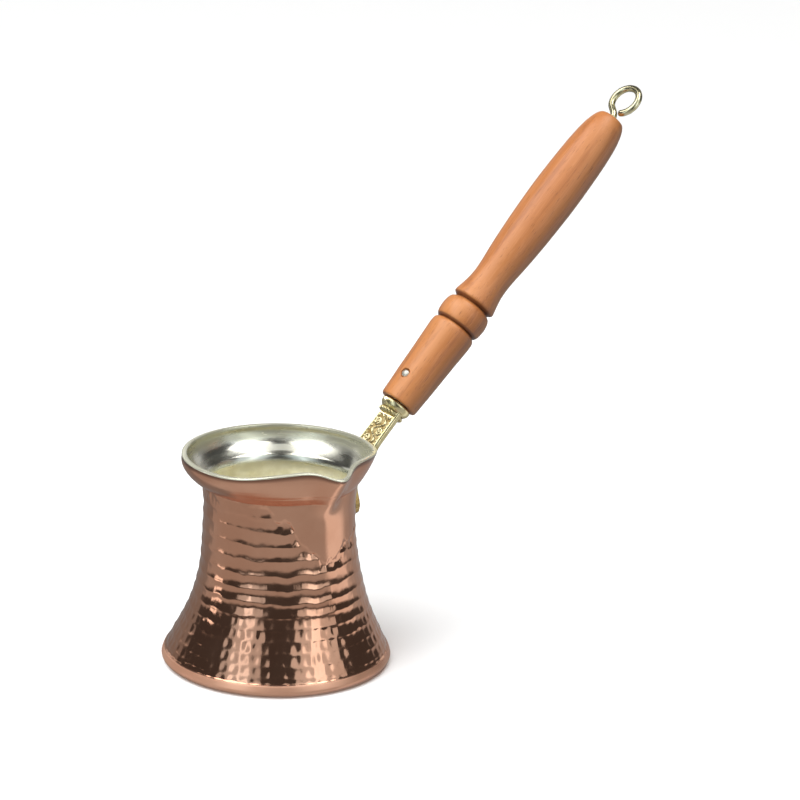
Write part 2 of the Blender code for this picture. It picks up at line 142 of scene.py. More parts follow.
# Handle
HANDLE_START = Vector((50.8 * MM, 0, 89.3 * MM))
HANDLE_RISE = math.radians(46.3)
HANDLE_LENGTH = 135.4 * MM
GROOVES = (36.1 * MM, 46.25 * MM)
PIN_PLACE = 9.8 * MM
PIN_ROLL = math.radians(15)
PIN_RADIUS = 1.6 * MM
PIN_HALF_LENGTH = 7.25 * MM
PIN_DOME = 0.75 * MM
DRILL = [(-12, 2.6), (-7.35, 1.85), (-7.0, 1.72), (7.0, 1.72), (7.35, 1.85), (12, 2.6)]
TANG_BORE_RADIUS = 4.0
TANG_BORE_DEPTH = 24
EYE_BORE_DEPTH = 12
EYE_ROLL = math.radians(98)
EYE_RADIUS = 5.7 * MM
EYE_CENTRE = 8.8 * MM
EYE_LEAVES_NECK = math.radians(-58)
EYE_CLOSES_AT = math.radians(15)
EYE_BEND = 2.2 * MM
WIRE_RADIUS = 1.3 * MM
ALONG_X = Matrix.Rotation(math.pi / 2, 4, "Y")

# Bracket and rivets
PAD_THICKNESS = 2.6 * MM
ARM_THICKNESS = 2.4 * MM
ARM_BEND = [(30.4, 66.2), (32.7, 68.8), (35.4, 71.6), (37.3, 74.5), (39.3, 77.2)]
RELIEF_DEPTH = 0.45 * MM
SHOULDER_OUTLINE = [(-5.62, 2.4), (-5.58, 3.9), (-5.2, 4.75), (-4.65, 5.05), (-4.1, 4.8), (-3.78, 4.5),
                    (-3.4, 4.85), (-2.6, 5.5), (-1.6, 5.86), (-0.75, 5.78), (-0.34, 5.3), (-0.3, 3.6)]
BEAD_TWIST_DEPTH = 0.38 * MM
VINE_START = 4.0 * MM
VINE_PERIOD = 7.4 * MM
VINE_SWING = 2.2 * MM
VINE_WIDTH = 0.42 * MM
CURL_ASIDE = 2.15 * MM
CURL_RADIUS = 1.25 * MM
CURL_WIDTH = 0.33 * MM
CURL_EYE = (0.35 * MM, 0.65 * MM)
BERRY_PITCH = 1.6 * MM
BERRY_LINE = 3.9 * MM
BERRY_WIDTH = 0.42 * MM
BERRY_RISE = 0.8
RELIEF_RIM = (0.76, 0.84)  # as a share of the half width
ARM_PLAIN_END = (-6.6 * MM, -5.8 * MM)
VEIN_PITCH = 3.0 * MM
VEIN_SLOPE = 0.7
VEIN_WIDTH = 0.42
VEIN_RISE = 0.8
MIDRIB_WIDTH = 0.6 * MM
RIVET_SEAT = (2.9 * MM, 3.3 * MM)
PAD_PLAIN_TOP = (61 * MM, 63 * MM)
# Heights over which the pad's colour turns amber, towards its lower end
PAD_TURNS_AMBER = (66 * MM, 62 * MM)
ARM_RELIEF_STARTS = (66 * MM, 70 * MM)
BAR_POINTS_ACROSS = 49
BAR_CROWDING = math.pi / 2 * 0.94  # crowds the points towards the bar's edges
BAR_ROUNDING = 0.5 * MM
CASTING_GRAIN = 0.02 * MM
PAD_GAP = 0.3 * MM
HUG_FADES = 6 * MM
RIVET_HEIGHTS = {"rivet_upper": 59.6 * MM, "rivet_lower": 53.6 * MM}
RIVET_SEEDS = {"rivet_upper": 41, "rivet_lower": 42}
RIVET_RADIUS = 1.5 * MM
RIVET_HEAD = (2.6 * MM, 1.55 * MM, 0.25 * MM)  # radius, height of the dome, height of its rim
RIVET_TAIL = (2.4 * MM, 0.85 * MM, 0.15 * MM)
RIVET_DENTS = 7

# Camera and light
CAMERA_AZIMUTH = math.radians(-122)
CAMERA_DISTANCE = 1.056
CAMERA_HEIGHT = 0.421
CAMERA_PAN = math.radians(2.315)
CAMERA_TILT = math.radians(16.946)
CAMERA_ROLL = math.radians(1.55)
CAMERA_LENS = 138.5

TABLE_GLOW = 0.40
TABLE_UNDER = 0.50
ROOM_GLOW = 0.06
SWEEP_GLOW = 0.24
SWEEP_GLOW_RIGHT = 0.36
SWEEP_TOP_GLOW = 0.70
CARD_GLOW = 0.85
STRIP_GLOW = 1.5
# Edges of the world's pale areas: heights from -1 to 1, and angles round the pot from the camera in degrees
TABLE_RANGE = (-0.95, -0.45)
TABLE_EDGE = (-0.15, -0.04)
SWEEP_LEFT = (-126, -114)
SWEEP_RIGHT = (126, 138)
SWEEP_TOP = (0.34, 0.46)
SWEEP_BRIGHTENS = (0.16, 0.30)
CARD_SIDES = ((70, 80), (104, 120))
CARD_TOP = (-0.12, 0.0)
STRIP_SIDES = ((-102, -98), (-88, -84))
STRIP_ENDS = ((-0.14, -0.09), (0.0, 0.05))
FLOOR_HALF = 6.0
FLOOR_DROP = 0.2 * MM
FLOOR_COLOR = (0.93, 0.93, 0.925, 1)

# Colours
COPPER_BRIGHT = (0.84, 0.46, 0.305)
COPPER_DULL = (0.76, 0.39, 0.25)
# Colour of the painted shade just under the lip
COPPER_PAINTED_SHADE = (0.30, 0.15, 0.10)
BAND_TURNS_BRIGHT = (4.4 * MM, 4.9 * MM)
TIN_BRIGHT = (0.86, 0.85, 0.77)
TIN_DULL = (0.74, 0.73, 0.62)
TIN_DEEP_DULL = (0.74, 0.69, 0.44)
TIN_DEEP_BRIGHT = (0.95, 0.91, 0.68)
TIN_DEEP_RANGE = (62 * MM, 68 * MM)
TIN_OLIVE = (0.36, 0.35, 0.20)
TIN_OLIVE_RANGE = (72.6 * MM, 74.8 * MM)
TIN_LIP = (0.90, 0.88, 0.70)
BRASS_BRIGHT = (0.90, 0.80, 0.48)
BRASS_DULL = (0.80, 0.68, 0.34)
BRASS_SKIN = (0.20, 0.13, 0.035)
BRASS_AMBER = (0.50, 0.27, 0.06)
RIVET_BRIGHT = (0.80, 0.50, 0.26)
RIVET_DULL = (0.62, 0.33, 0.16)
WOOD_LIGHT = (0.52, 0.208, 0.066)
WOOD_DARK = (0.40, 0.135, 0.036)
WOOD_STREAK = (0.25, 0.075, 0.02)
WOOD_FIBRE = (0.58, 0.25, 0.10)
WOOD_PORE = (0.16, 0.05, 0.015)
# Colour of the painted shade in the turned grooves
WOOD_PAINTED_GROOVE_SHADE = (0.10, 0.025, 0.006)
PIN_BRIGHT = (0.97, 0.93, 0.84)
PIN_DULL = (0.90, 0.84, 0.70)
WIRE_BRIGHT = (0.80, 0.74, 0.50)
WIRE_DULL = (0.66, 0.60, 0.36)

ROUND = 432


# ------------ mesh helpers

def grid_mesh(name, points, close_start=True, close_end=True, sharp=30):
    """A closed skin from an array of rings, which all run the same way round."""
    rows, columns = points.shape[:2]
    index = np.arange(rows * columns).reshape(rows, columns)
    after = np.roll(index, -1, axis=1)
    quads = np.stack([index[:-1], after[:-1], after[1:], index[1:]], axis=-1).reshape(-1, 4)
    faces = quads.tolist()
    if close_start:
        faces.append(index[0][::-1].tolist())
    if close_end:
        faces.append(index[-1].tolist())
    mesh = bpy.data.meshes.new(name)
    mesh.from_pydata(points.reshape(-1, 3).tolist(), [], faces)
    mesh.validate()
    mesh.shade_smooth()
    mesh.set_sharp_from_angle(angle=math.radians(sharp))
    return mesh


def add_object(name, data):
    obj = bpy.data.objects.new(name, data)
    bpy.context.scene.collection.objects.link(obj)
    return obj


def add_piece(name, mesh, material, nodes, place=None):
    """A piece whose mesh keeps its own coordinates as the attribute that its material reads."""
    own = np.empty(len(mesh.vertices) * 3, np.float32)
    mesh.vertices.foreach_get("co", own)
    mesh.attributes.new("own_place", "FLOAT_VECTOR", "POINT").data.foreach_set("vector", own)
    if place is not None:
        mesh.transform(place)
    obj = add_object(name, mesh)
    obj.data.materials.append(material)
    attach(obj, BODY)
    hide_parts(*nodes)
    return obj


def ring_attribute(mesh, name, shares, segments):
    """A value for each ring of a mesh made of rings, for its material to read."""
    values = np.repeat(np.asarray(shares, np.float32), segments)
    float_attribute(mesh, name, np.concatenate([values, np.zeros(len(mesh.vertices) - len(values))]))


def float_attribute(mesh, name, values):
    """A value for each point of a mesh, for its material to read."""
    mesh.attributes.new(name, "FLOAT", "POINT").data.foreach_set("value", values.astype(np.float32).ravel())


def smoothstep(low, high, value):
    """A soft step from 0 at low to 1 at high. Low may be the larger one."""
    t = np.clip((value - low) / (high - low), 0, 1)
    return t * t * (3 - 2 * t)


def ridge(distance, width):
    """A soft ridge of height 1, centred where the distance is 0."""
    return np.exp(-(distance / width) ** 2)


def catmull(points, steps):
    """A smooth line through given points, as an array."""
    p = np.asarray(points, float)
    p = np.vstack([2 * p[0] - p[1], p, 2 * p[-1] - p[-2]])
    out = []
    for a, b, c, d in zip(p, p[1:], p[2:], p[3:]):
        for k in range(steps):
            t = k / steps
            out.append(0.5 * (2 * b + (c - a) * t + (2 * a - 5 * b + 4 * c - d) * t * t
                              + (3 * b - a - 3 * c + d) * t ** 3))
    out.append(p[-2])
    return np.array(out)


def ring_noise(azimuth, height, cells_round, cell_height, seed):
    """Smooth random values between -1 and 1 on the pot's wall, which close round it."""
    rng = np.random.default_rng(seed)
    rows = 64
    table = rng.uniform(-1, 1, (rows, cells_round))
    u = (azimuth / math.tau % 1.0) * cells_round
    v = height / cell_height
    i, j = np.floor(v).astype(int), np.floor(u).astype(int)
    fv, fu = v - i, u - j
    fv, fu = fv * fv * (3 - 2 * fv), fu * fu * (3 - 2 * fu)
    a = table[i % rows, j % cells_round]
    b = table[i % rows, (j + 1) % cells_round]
    c = table[(i + 1) % rows, j % cells_round]
    d = table[(i + 1) % rows, (j + 1) % cells_round]
    return (a * (1 - fu) + b * fu) * (1 - fv) + (c * (1 - fu) + d * fu) * fv


def layered(azimuth, height, layers):
    """Sum of noises on the wall, each given as (size, cells round the pot, height of a cell, seed)."""
    return sum(size * ring_noise(azimuth, height, *layer) for size, *layer in layers)


# ------------ node helpers

def put(tree, kind, inputs=None, **settings):
    """A new node. Each input is another node's output, which is linked, or a plain value."""
    node = tree.nodes.new("ShaderNode" + kind)
    for key, value in settings.items():
        setattr(node, key, value)
    for key, value in (inputs or {}).items():
        if isinstance(value, bpy.types.NodeSocket):
            tree.links.new(value, node.inputs[key])
        else:
            node.inputs[key].default_value = value
    return node


def span(tree, value, low, high, to_low, to_high):
    """Value carried from one range to another, smoothly, and held at the ends."""
    settings = {"interpolation_type": "SMOOTHSTEP"}
    inputs = {"Value": value, "From Min": low, "From Max": high, "To Min": to_low, "To Max": to_high}
    return put(tree, "MapRange", inputs, **settings).outputs[0]


def maths(tree, operation, *values):
    return put(tree, "Math", dict(enumerate(values)), operation=operation).outputs[0]


def between(tree, value, opens, closes):
    """1 where a value lies between two soft edges, each given as where it starts and ends."""
    return maths(tree, "MULTIPLY", span(tree, value, *opens, 0, 1), span(tree, value, *closes, 1, 0))


def distance_from(tree, value, place):
    return maths(tree, "ABSOLUTE", maths(tree, "SUBTRACT", value, place))


def mix_values(tree, share, first, second):
    return put(tree, "Mix", {0: share, 2: first, 3: second}).outputs[0]


def mix_colors(tree, share, first, second):
    """A colour between two, which are each a plain colour or another node's output."""
    first, second = ((*c, 1) if isinstance(c, tuple) else c for c in (first, second))
    return put(tree, "Mix", {0: share, 6: first, 7: second}, data_type="RGBA").outputs[2]


def noise(tree, place, scale, detail):
    return put(tree, "TexNoise", {"Vector": place, "Scale": scale, "Detail": detail}).outputs[0]


def own_place(tree):
    """Coordinates of the piece's own frame, in metres."""
    return put(tree, "Attribute", attribute_name="own_place").outputs["Vector"]


def painted(tree, name):
    """A value that the mesh carries for its material."""
    return put(tree, "Attribute", attribute_name=name).outputs["Fac"]


def z_of(tree, vector):
    return put(tree, "SeparateXYZ", {0: vector}).outputs["Z"]


def dot(tree, vector, direction):
    return put(tree, "VectorMath", {0: vector, 1: direction}, operation="DOT_PRODUCT").outputs["Value"]


def stretched(tree, place, scale):
    return put(tree, "VectorMath", {0: place, 1: scale}, operation="MULTIPLY").outputs[0]


def bump(tree, height, depth, under=None, invert=False):
    """A relief as a normal. Depth is in metres, and another relief can lie under it."""
    inputs = {"Height": height, "Distance": depth, "Strength": 1.0}
    if under is not None:
        inputs["Normal"] = under
    return put(tree, "Bump", inputs, invert=invert).outputs[0]


def finish_look(material, color, roughness, normal):
    """Links the sockets that every material here drives."""
    tree = material.node_tree
    shader = tree.nodes["Principled BSDF"]
    for socket, value in (("Base Color", color), ("Roughness", roughness), ("Normal", normal)):
        tree.links.new(value, shader.inputs[socket])
    return material


def new_look(name, metallic):
    material = bpy.data.materials.new(name)
    material.use_nodes = True
    tree = material.node_tree
    shader = tree.nodes["Principled BSDF"]
    shader.inputs["Metallic"].default_value = metallic
    return material, tree, shader


# ------------ pot

def bell_radius(height):
    return NECK_RADIUS + FLARE_WIDTH * np.exp(-(height / FLARE_HEIGHT) ** FLARE_POWER)


def wall_outline(bell_steps, collar_steps, foot_steps):
    """Outer outline from the edge of the flat base up to the lip, as rows of (radius, height)."""
    flat = bell_radius(FOOT_ROUND_HEIGHT) - FOOT_ROUND_WIDTH
    turn = np.linspace(0, math.pi / 2, foot_steps)
    foot = np.stack([flat + FOOT_ROUND_WIDTH * np.sin(turn), FOOT_ROUND_HEIGHT * (1 - np.cos(turn))], -1)
    heights = np.linspace(FOOT_ROUND_HEIGHT, CREASE[1], bell_steps)[1:-1]
    neck = bell_radius(heights) + 0.45 * MM * smoothstep(59 * MM, CREASE[1], heights)
    bell = np.stack([neck, heights], -1)
    t = np.linspace(0, 1, collar_steps)[:, None]
    collar = (CREASE * (1 - t) ** 3 + COLLAR_LEAVES_CREASE * 3 * t * (1 - t) ** 2
              + COLLAR_BULGE * 3 * t ** 2 * (1 - t) + COLLAR_TOP * t ** 3)
    return np.vstack([foot, bell, collar])


def outline_normals(outline):
    ahead = np.diff(outline, axis=0)
    side = np.stack([ahead[:, 1], -ahead[:, 0]], -1)
    side /= np.linalg.norm(side, axis=1)[:, None]
    middle = np.vstack([side[:1], side[:-1] + side[1:], side[-1:]])
    middle /= np.linalg.norm(middle, axis=1)[:, None]
    middle[0] = (0, -1)
    middle[-1] = (1, 0)
    return middle


def angle_from_spout(azimuth):
    return (azimuth - SPOUT_AZIMUTH + math.pi) % math.tau - math.pi


def spout_shift(radius, height, azimuth):
    """How far the pinched spout moves the wall: outwards, and upwards."""
    off = np.abs(angle_from_spout(azimuth))
    share = np.clip((SHOULDER_END - off) / (SHOULDER_END - SHOULDER_START), 0, 1)
    shoulder = np.sin(share * math.pi / 2) ** 2
    up_collar = np.clip((height - CREASE[1]) / (COLLAR_TOP[1] - CREASE[1]), 0, None)
    straight = CREASE[0] + (COLLAR_TOP[0] - CREASE[0]) * up_collar
    share = np.clip((FLATTENED_END - off) / (FLATTENED_END - FLATTENED_START), 0, 1)
    flattened = FLATTENED * np.sin(share * math.pi / 2) ** 2 * (up_collar > 0)
    draw_in = SHOULDER_DRAW_IN * shoulder * up_collar ** 2 + flattened * np.clip(radius - straight, 0, None)
    channel = np.exp(-(off / SPOUT_WIDTH) ** 2)
    run = SPOUT_REACH - (COLLAR_TOP[1] - height) * SPOUT_SLOPE - (radius - draw_in)
    bulge = channel * (run + np.hypot(run, SPOUT_BLEND)) / 2
    dip = SPOUT_DIP * np.exp(-(off / SPOUT_DIP_WIDTH) ** 2)
    return bulge - draw_in, (SHOULDER_RISE * shoulder - dip) * up_collar ** 2


def wander(height):
    """How far the hand-beaten wall stands off the axis at a height."""
    fade = 1 - smoothstep(WANDER_FADES, WANDER_ENDS, height)
    return WANDER * fade * np.sin(math.pi * (height - WANDER_CROSSES) / WANDER_HALF_WAVE)


def hammer_cells(azimuth, height):
    """Pitch of the row, place across row and column from -0.5 to 0.5, and each mark's strength and tilt."""
    jitter = np.random.default_rng(11)
    band_shift = jitter.uniform(-BAND_SHIFT, BAND_SHIFT, ROWS_DRAWN)
    strengths = jitter.uniform(*MARK_STRENGTHS, (ROWS_DRAWN, MARKS_ROUND))
    tilts = jitter.uniform(-1, 1, (ROWS_DRAWN, MARKS_ROUND))
    pitch = np.sqrt(ROW_PITCH ** 2 + 4 * ROW_PITCH_GROWTH * (height - FIRST_RIDGE))
    row = (pitch - ROW_PITCH) / (2 * ROW_PITCH_GROWTH) + layered(azimuth, height, ROW_WOBBLE)
    row_number = np.floor(row).astype(int)
    column = azimuth / math.tau * MARKS_ROUND + band_shift[row_number % ROWS_DRAWN]
    column = column + layered(azimuth, height, COLUMN_WOBBLE)
    column_number = np.floor(column).astype(int)
    mark = (row_number % ROWS_DRAWN, column_number % MARKS_ROUND)
    return pitch, row - row_number - 0.5, column - column_number - 0.5, strengths[mark], tilts[mark]


def edge_step(from_edge, from_spout):
    """Extra depth just inside the jagged upper edge of the hammered zone, deepest on the handle's side."""
    beside = smoothstep(*BESIDE_SPOUT_STARTS, from_spout) * smoothstep(*BESIDE_SPOUT_ENDS, from_spout)
    fades = EDGE_FADES + (EDGE_FADES_BESIDE_SPOUT - EDGE_FADES) * beside
    depth = EDGE_DEPTH + (EDGE_DEPTH_BESIDE_SPOUT - EDGE_DEPTH) * beside
    depth = depth * np.exp(-np.clip(from_edge, 0, None) / fades)
    return depth * smoothstep(*EDGE_STARTS, from_spout) * smoothstep(*EDGE_ENDS, from_spout)


def hammer_depth(azimuth, height):
    """Depth of the hammer marks: rows of shallow dents, squarer towards the foot, with ridges between."""
    from_spout = angle_from_spout(azimuth)
    spread = np.where(from_spout < 0, *HAMMER_TOP_SPREADS)
    top = HAMMER_TOP - HAMMER_TOP_UNDER_SPOUT * np.exp(-(from_spout / spread) ** 2)
    from_edge = top + layered(azimuth, height, EDGE_JAGS) - height
    inside = smoothstep(*EDGE_CLIFF, from_edge) * smoothstep(*MARKS_START, height)
    near_top = smoothstep(*NEAR_TOP, top - height)
    low = 1 - smoothstep(*SQUARES_FADE, height)
    pitch, across_row, across_column, strength, tilt = hammer_cells(azimuth, height)
    bowl_row = 1 - 4 * across_row ** 2
    bowl_column = np.cos(math.pi * across_column) ** 2
    rows = ROW_DEPTH * pitch * bowl_row * (1 - ROW_DEPTH_VARIES + ROW_DEPTH_VARIES * strength)
    everywhere, by_foot, by_top = SQUARES_SHARES
    square = MARK_DEPTH * (everywhere + by_foot * low + by_top * near_top)
    squares = square * bowl_row * bowl_column * strength
    leaning = MARK_TILT * (MARK_TILT_BELOW_TOP + near_top) * tilt * across_column * bowl_row
    uneven = layered(azimuth, height, UNEVEN_WALL)
    return inside * (rows + squares + leaning + uneven + edge_step(from_edge, from_spout) + LEAST_DEPTH)


def wall_rings(outline, normals, azimuths, inset, lift=0.0):
    """Rings of points of the wall. Inset is a depth under the outer surface, one for each ring or point."""
    radius, height = outline[:, 0, None], outline[:, 1, None]
    outwards, upwards = spout_shift(radius, height, azimuths[None, :])
    inset = np.broadcast_to(inset, (len(outline), len(azimuths)))
    r = radius + outwards - normals[:, 0, None] * inset
    z = height + upwards - normals[:, 1, None] * inset + lift
    aside = wander(height)
    x = r * np.cos(azimuths) + aside * math.cos(WANDER_AZIMUTH)
    y = r * np.sin(azimuths) + aside * math.sin(WANDER_AZIMUTH)
    return np.stack([x, y, z], -1)


def wall_azimuths():
    u = np.arange(ROUND) / ROUND
    return SPOUT_AZIMUTH + math.tau * u - 0.35 * np.sin(math.tau * u)


def disc_rings(ring, radii, height):
    """Flat rings that fill a disc inwards from a ring, at one height."""
    middle = wander(height) * np.array((math.cos(WANDER_AZIMUTH), math.sin(WANDER_AZIMUTH)))
    direction = ring[:, :2] - middle
    direction /= np.linalg.norm(direction, axis=1)[:, None]
    return [np.column_stack([middle + direction * radius, np.full(len(ring), height)]) for radius in radii]


def body_inset(azimuths, height):
    """How far the copper's finished outside lies under the frame's plain wall."""
    step = BAND_STEP * smoothstep(*BAND_EDGE, height) * (1 - smoothstep(*BAND_STEP_FADES, height))
    on_bell = height < CREASE[1] - MARKS_STOP_UNDER_CREASE
    marks = np.where(on_bell, hammer_depth(azimuths, height), 0)
    scribed = SCRIBED_DEPTH * sum(ridge(height - line, SCRIBED_WIDTH) for line in SCRIBED_LINES)
    facets = FACET_ALLOWANCE * (1 - smoothstep(*FACET_ALLOWANCE_FADES, height))
    lean = FOOT_LEAN * smoothstep(*FOOT_LEANS, height)
    under_lip = UNDER_LIP_DEPTH * ridge(height - UNDER_LIP, UNDER_LIP_WIDTH)
    return step + marks + scribed + facets + lean + under_lip


def make_body(material):
    """Copper shell: plain foot band, hammered bell and neck, smooth collar with fine scribed lines."""
    azimuths = wall_azimuths()
    outline = wall_outline(140, 34, 9)
    inset = body_inset(azimuths[None, :], outline[:, 1, None])
    outside = wall_rings(outline, outline_normals(outline), azimuths, inset)
    inner_outline = outline[::5]
    inside = wall_rings(inner_outline, outline_normals(inner_outline), azimuths, COPPER_WALL)[::-1]
    underside = disc_rings(outside[0], UNDERSIDE_RADII, 0.0)
    floor = disc_rings(inside[-1], COPPER_FLOOR_RADII, COPPER_WALL)
    points = np.concatenate([np.array(underside), outside, inside, np.array(floor)])
    mesh = grid_mesh("copper_body", points, sharp=38)
    # Painted shade: the topmost rings of the outside, just under the lip, carry a darkening share for the
    # material.
    painted_shade_and_amber = np.zeros(len(points))
    top = len(underside) + len(outside)
    painted_shade_and_amber[top - len(PAINTED_SHADE_UNDER_LIP):top] = PAINTED_SHADE_UNDER_LIP
    ring_attribute(mesh, "painted_shade_and_amber", painted_shade_and_amber, ROUND)
    return add_piece("copper_body", mesh, material, ["pot_body"])


def lip_rings(outline, normals, azimuths):
    """Rings over the lip, from the edge of the copper's outside to the tin's inner side."""
    half = INSIDE_DEPTH / 2
    rings = [wall_rings(outline, normals, azimuths, depth, lift=2 * HAIR_GAP)[0]
             for depth in (COPPER_WALL + HAIR_GAP, 0.0)]
    for turn in LIP_TURNS:
        across = half - (half - 2 * HAIR_GAP) * math.cos(turn)
        lift = LIP_LIFT * (0.55 + 0.45 * math.sin(turn))
        rings.append(wall_rings(outline, normals, azimuths, across, lift=lift)[0])
    return rings


def make_tin(material):
    """Tinned inside, carried over the lip as a thin rounded edge."""
    azimuths = wall_azimuths()
    outline = wall_outline(60, 26, 6)
    normals = outline_normals(outline)
    back_depth = COPPER_WALL + HAIR_GAP
    back = wall_rings(outline, normals, azimuths, back_depth)
    face = wall_rings(outline, normals, azimuths, INSIDE_DEPTH)[::-1]
    lip = lip_rings(outline[-1:], normals[-1:], azimuths)
    bottom_back = disc_rings(back[0], TIN_BACK_RADII, back_depth)
    bottom_face = disc_rings(face[-1], TIN_FLOOR_RADII, INSIDE_DEPTH)
    points = np.concatenate([np.array(bottom_back), back, np.array(lip), face[1:], np.array(bottom_face)])
    mesh = grid_mesh("tinned_inside", points, sharp=50)
    on_lip = np.zeros(len(points))
    first = len(bottom_back) + len(back)
    on_lip[first:first + len(lip)] = LIP_SHARES
    ring_attribute(mesh, "on_lip", on_lip, ROUND)
    return add_piece("tinned_inside", mesh, material, ["tin_lining"])


# ------------ handle

def handle_frame(distance, roll=0.0):
    """Z runs along the handle, and X starts at its upper side and is rolled about the handle."""
    along = Vector((math.cos(HANDLE_RISE), 0, math.sin(HANDLE_RISE)))
    upper = Vector((-math.sin(HANDLE_RISE), 0, math.cos(HANDLE_RISE)))
    place = Matrix((upper, along.cross(upper), along)).transposed().to_4x4()
    place.translation = HANDLE_START + along * distance
    return place @ Matrix.Rotation(roll, 4, "Z")


def polar(points):
    """Angle and radius of points about Z."""
    return np.arctan2(points[..., 1], points[..., 0]), np.hypot(points[..., 0], points[..., 1])


def turned(outline, segments=144):
    """Rings of a turned piece about Z, from rows of (height, radius)."""
    a = np.arange(segments) / segments * math.tau
    z, r = outline[:, 0, None], outline[:, 1, None]
    return np.stack([r * np.cos(a), r * np.sin(a), np.broadcast_to(z, (len(outline), segments))], -1)


def wood_outline():
    sleeve = [(0.15, 4.2), (0, 6.7), (0.3, 7.25), (1.2, 7.5), (6, 7.75), (11, 8.0), (17, 8.22), (23, 8.45),
              (29, 8.75), (32.2, 8.88), (34.2, 8.72), (35.2, 8.2), (35.9, 7.3)]
    bead = [(36.35, 8.3), (37.2, 8.85), (38.8, 9.17), (41, 9.27), (43.2, 8.98), (44.7, 8.35), (45.6, 7.2),
            (46.0, 6.6)]
    grip = [(46.45, 7.3), (47.2, 8.3), (47.9, 8.45), (49, 8.25), (51.5, 7.7), (54.8, 7.18), (57.8, 7.0),
            (62, 7.15), (67, 7.62), (72, 8.02), (78, 8.4), (85, 8.75), (92, 8.98), (99, 9.1), (106, 9.03),
            (112, 8.88), (118.5, 8.62), (124, 8.18), (128, 7.66), (131, 7.0), (133, 6.35), (134.5, 5.6),
            (135.25, 4.9), (135.4, 4.0), (135.3, 1.35)]
    return np.vstack([catmull(sleeve, 7), catmull(bead, 7), catmull(grip, 7)]) * MM


def make_wood(material):
    """Turned handle. Both ends run in to a bore, so the tang and the wire go into real holes."""
    eye_end = HANDLE_LENGTH / MM - EYE_BORE_DEPTH
    inner_start = [(TANG_BORE_DEPTH, 0.4), (TANG_BORE_DEPTH, TANG_BORE_RADIUS), (0.6, TANG_BORE_RADIUS)]
    inner_end = [(eye_end, 1.32), (eye_end, 0.3)]
    points = turned(np.vstack([np.array(inner_start) * MM, wood_outline(), np.array(inner_end) * MM]))
    z = points[..., 2]
    a, radius = polar(points)
    uneven = 0.05 * MM * np.sin(2 * a + z / (22 * MM)) + 0.02 * MM * ring_noise(a, z, 9, 6 * MM, 21)
    grow = np.where(radius > 5 * MM, 1 + uneven / np.maximum(radius, MM), 1)
    points[..., :2] *= grow[..., None]
    across = Matrix.Translation((0, 0, PIN_PLACE)) @ Matrix.Rotation(PIN_ROLL, 4, "Z") @ ALONG_X
    drill = grid_mesh("drill", turned(np.array(DRILL) * MM, 64))
    mesh = drilled(grid_mesh("turned_handle", points, sharp=40), drill, across)
    add_piece("turned_handle", mesh, material, ["wooden_handle"], handle_frame(0))


def drilled(mesh, drill_mesh, place):
    """The mesh with a turned hole cut through it."""
    body = add_object("drilled", mesh)
    drill = add_object("drill", drill_mesh)
    drill.matrix_world = place
    cut = body.modifiers.new("cut", "BOOLEAN")
    cut.operation = "DIFFERENCE"
    cut.object = drill
    bpy.context.view_layer.update()
    result = bpy.data.meshes.new_from_object(body.evaluated_get(bpy.context.evaluated_depsgraph_get()))
    for obj in (body, drill):
        bpy.data.objects.remove(obj)
    result.name = mesh.name
    result.materials.clear()
    return result


def make_pin(material):
    """A pin whose two ends are filed to low domes, just proud of their countersinks."""
    rise = np.linspace(0.06, 1, 8) * math.pi / 2
    end = np.stack([-PIN_HALF_LENGTH - PIN_DOME * np.cos(rise), PIN_RADIUS * np.sin(rise)], -1)
    points = turned(np.vstack([end, end[::-1] * (-1, 1)]), 56)
    place = handle_frame(PIN_PLACE, PIN_ROLL) @ ALONG_X
    return add_piece("pin_in_handle", grid_mesh("pin_in_handle", points, sharp=60), material, ["handle_pin"],
                     place)


# ------------ bracket

def pad_centre(height):
    """Distance from the axis to the middle of the pad, which follows the neck."""
    return bell_radius(height) + PAD_GAP + PAD_THICKNESS / 2


def bracket_line():
    """Middle line of the bracket as (x, z) with its half widths and how far it hugs the round neck."""
    along = np.array((math.cos(HANDLE_RISE), math.sin(HANDLE_RISE)))
    start = np.array((HANDLE_START.x, HANDLE_START.z))
    pad = [(pad_centre(height), height) for height in np.array((49.0, 51.5, 55.8, 59.0, 62.0)) * MM]
    bend = [tuple(np.array(place) * MM) for place in ARM_BEND]
    tang = [tuple(start + along * distance * MM) for distance in (-4.5, -2, 6, 16, 24)]
    line = catmull(np.array(pad + bend + tang), 40)
    run = np.concatenate([[0], np.cumsum(np.linalg.norm(np.diff(line, axis=0), axis=1))])
    even = np.linspace(0, run[-1], int(run[-1] / (0.28 * MM)))
    line = np.stack([np.interp(even, run, line[:, k]) for k in (0, 1)], -1)
    to_handle = (line - start) @ along
    half = np.interp(line[:, 1], np.array((49.0, 50.1, 51.5, 53.5, 55.8, 57.6, 59.4, 62.0, 66.5, 86.0)) * MM,
                     np.array((0.9, 2.9, 5.0, 8.3, 9.9, 9.5, 8.1, 6.7, 6.15, 5.3)) * MM)
    half = half + (3.2 * MM - half) * smoothstep(-3.4 * MM, -1.0 * MM, to_handle)
    hug = np.clip((CREASE[1] + 2 * MM - line[:, 1]) / HUG_FADES, 0, 1)
    return line, even, half, hug, to_handle


